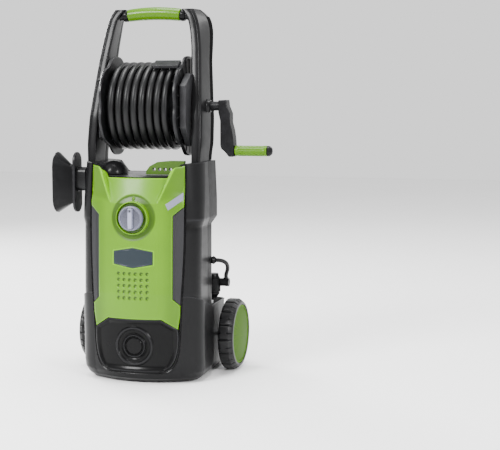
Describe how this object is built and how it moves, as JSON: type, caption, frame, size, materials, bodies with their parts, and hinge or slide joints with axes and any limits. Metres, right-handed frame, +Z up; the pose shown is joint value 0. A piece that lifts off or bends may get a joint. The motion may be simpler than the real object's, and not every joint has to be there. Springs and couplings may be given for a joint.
{
  "type": "pressure washer",
  "caption": "Upright wheeled electric pressure washer with a front dial, hose reel with crank between the handle posts, cord hook and nozzle rack.",
  "frame": {"origin": "on the floor, under the middle of the body, at the flat underside of the base", "axes": "+Z up, the front cover and dial face -Y, the crank is on +X and the cord hook on -X"},
  "size_m": [0.527, 0.3355, 0.8835],
  "materials": {
    "charcoal_plastic": "fine moulded texture",
    "lime_plastic": "satin moulded lime green",
    "trim_plastic": "fine satin grey",
    "silver_plastic": "satin silver lacquer",
    "badge_plastic": "satin slate",
    "black_plastic": "satin black",
    "hose_rubber": "smooth extruded rubber",
    "tyre_rubber": "matt treaded rubber",
    "steel": "turned",
    "brass": "machined",
    "pump_alloy": "die cast",
    "motor_iron": "black enamel"
  },
  "bodies": {
    "machine": {"front_housing": "charcoal_plastic", "rear_housing": "charcoal_plastic", "base_housing": "charcoal_plastic", "front_frame": "charcoal_plastic", "front_cover": "lime_plastic", "lower_front_cover": "charcoal_plastic", "side_trim_right": "trim_plastic", "side_trim_left": "trim_plastic", "accent_stripe": "silver_plastic", "badge_plate": "badge_plastic", "dial_ring": "lime_plastic", "top_deck": "charcoal_plastic", "nozzle_rack": "lime_plastic", "gun_holder": "black_plastic", "left_post": "charcoal_plastic", "right_post": "charcoal_plastic", "crossbar": "charcoal_plastic", "handle_grip": "lime_plastic", "reel_swivel": "brass", "left_cheek": "trim_plastic", "right_cheek": "trim_plastic", "wheel_axle": "steel", "hook_mount": "black_plastic", "hook_flare": "black_plastic", "outlet_fitting": "black_plastic", "outlet_elbow": "black_plastic", "jumper_hose": "hose_rubber", "hose_grommet": "black_plastic", "switch_body": "black_plastic", "cable_gland": "black_plastic", "motor_can": "motor_iron", "pump_housing": "pump_alloy", "pump_head": "brass", "outlet_pipe": "steel", "water_inlet": "brass"},
    "reel": {"reel_half_left": "charcoal_plastic", "reel_half_right": "charcoal_plastic", "hose_winding": "hose_rubber", "hose_clip": "trim_plastic", "hose_end_fitting": "brass", "crank_shaft": "steel", "crank_arm": "black_plastic"},
    "crank_handle": {"crank_grip": "lime_plastic", "crank_grip_cap": "black_plastic"},
    "left_wheel": {"left_tyre": "tyre_rubber", "left_hub": "black_plastic", "left_hub_cap": "lime_plastic"},
    "right_wheel": {"right_tyre": "tyre_rubber", "right_hub": "black_plastic", "right_hub_cap": "lime_plastic"},
    "dial": {"switch_knob": "silver_plastic"},
    "drive": {"rotor": "steel", "cooling_fan": "black_plastic", "swash_plate": "steel"},
    "piston_1": {"piston_1": "steel", "piston_spring_1": "steel"},
    "piston_2": {"piston_2": "steel", "piston_spring_2": "steel"},
    "piston_3": {"piston_3": "steel", "piston_spring_3": "steel"}
  },
  "joints": [
    {"name": "reel_spin", "type": "hinge", "parent": "machine", "child": "reel", "pos_m": [0, 0.045, 0.648], "axis": [1, 0, 0], "continuous": true},
    {"name": "crank_grip_spin", "type": "hinge", "parent": "reel", "child": "crank_handle", "pos_m": [0.24, 0.045, 0.543], "axis": [1, 0, 0], "continuous": true},
    {"name": "left_wheel_spin", "type": "hinge", "parent": "machine", "child": "left_wheel", "pos_m": [-0.18, 0.124, 0.087], "axis": [1, 0, 0], "continuous": true},
    {"name": "right_wheel_spin", "type": "hinge", "parent": "machine", "child": "right_wheel", "pos_m": [0.18, 0.124, 0.087], "axis": [1, 0, 0], "continuous": true},
    {"name": "switch_knob_turn", "type": "hinge", "parent": "machine", "child": "dial", "pos_m": [0, -0.11, 0.392], "axis": [0, -1, 0], "range_deg": [-90, 0]},
    {"name": "rotor_spin", "type": "hinge", "parent": "machine", "child": "drive", "pos_m": [0, -0.004, 0.25], "axis": [0, 0, 1], "continuous": true},
    {"name": "piston_1_stroke", "type": "slide", "parent": "machine", "child": "piston_1", "axis": [0, 0, -1], "range_m": [0, 0.006], "stiffness_N_per_m": 2000, "springref_m": -0.002, "deforming": ["piston_spring_1"]},
    {"name": "piston_2_stroke", "type": "slide", "parent": "machine", "child": "piston_2", "axis": [0, 0, -1], "range_m": [0, 0.006], "stiffness_N_per_m": 2000, "springref_m": -0.002, "deforming": ["piston_spring_2"]},
    {"name": "piston_3_stroke", "type": "slide", "parent": "machine", "child": "piston_3", "axis": [0, 0, -1], "range_m": [0, 0.006], "stiffness_N_per_m": 2000, "springref_m": -0.002, "deforming": ["piston_spring_3"]}
  ]
}
